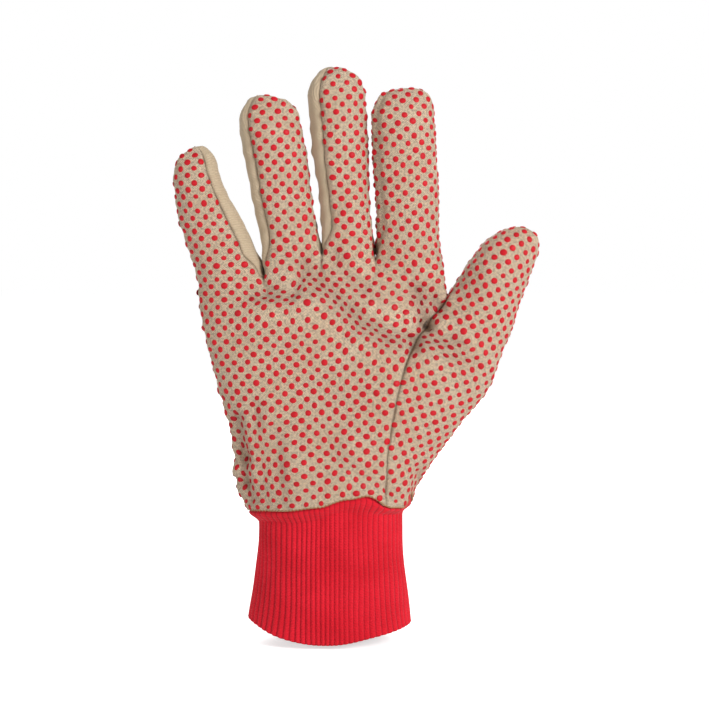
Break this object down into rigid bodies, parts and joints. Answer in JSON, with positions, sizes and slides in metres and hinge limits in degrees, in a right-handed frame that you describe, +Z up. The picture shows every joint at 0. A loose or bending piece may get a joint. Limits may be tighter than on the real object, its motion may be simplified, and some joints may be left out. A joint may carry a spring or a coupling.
{
  "type": "cotton work glove",
  "caption": "Right-hand cotton work glove with grip dots on the palm, thumb and index finger, plain twill back and a ribbed knit wrist.",
  "frame": {"origin": "middle of the wrist opening at the knit cuff's lower edge", "axes": "+Z up the hand from the wrist to the fingertips, palm towards -Y, thumb towards +X"},
  "size_m": [0.1632, 0.053, 0.2615],
  "materials": {
    "palm_canvas": "natural cotton canvas, matt",
    "back_twill": "natural cotton twill, matt",
    "cuff_knit": "red rib knit, matt",
    "grip_dots": "red soft plastic dots, satin",
    "hem_thread": "brown cotton thread, matt"
  },
  "bodies": {
    "root": {"palm_panel": "palm_canvas", "thumb_panel": "palm_canvas", "back_middle_panel": "back_twill", "back_ring_panel": "back_twill", "back_little_panel": "back_twill", "knit_cuff": "cuff_knit"}
  },
  "joints": []
}
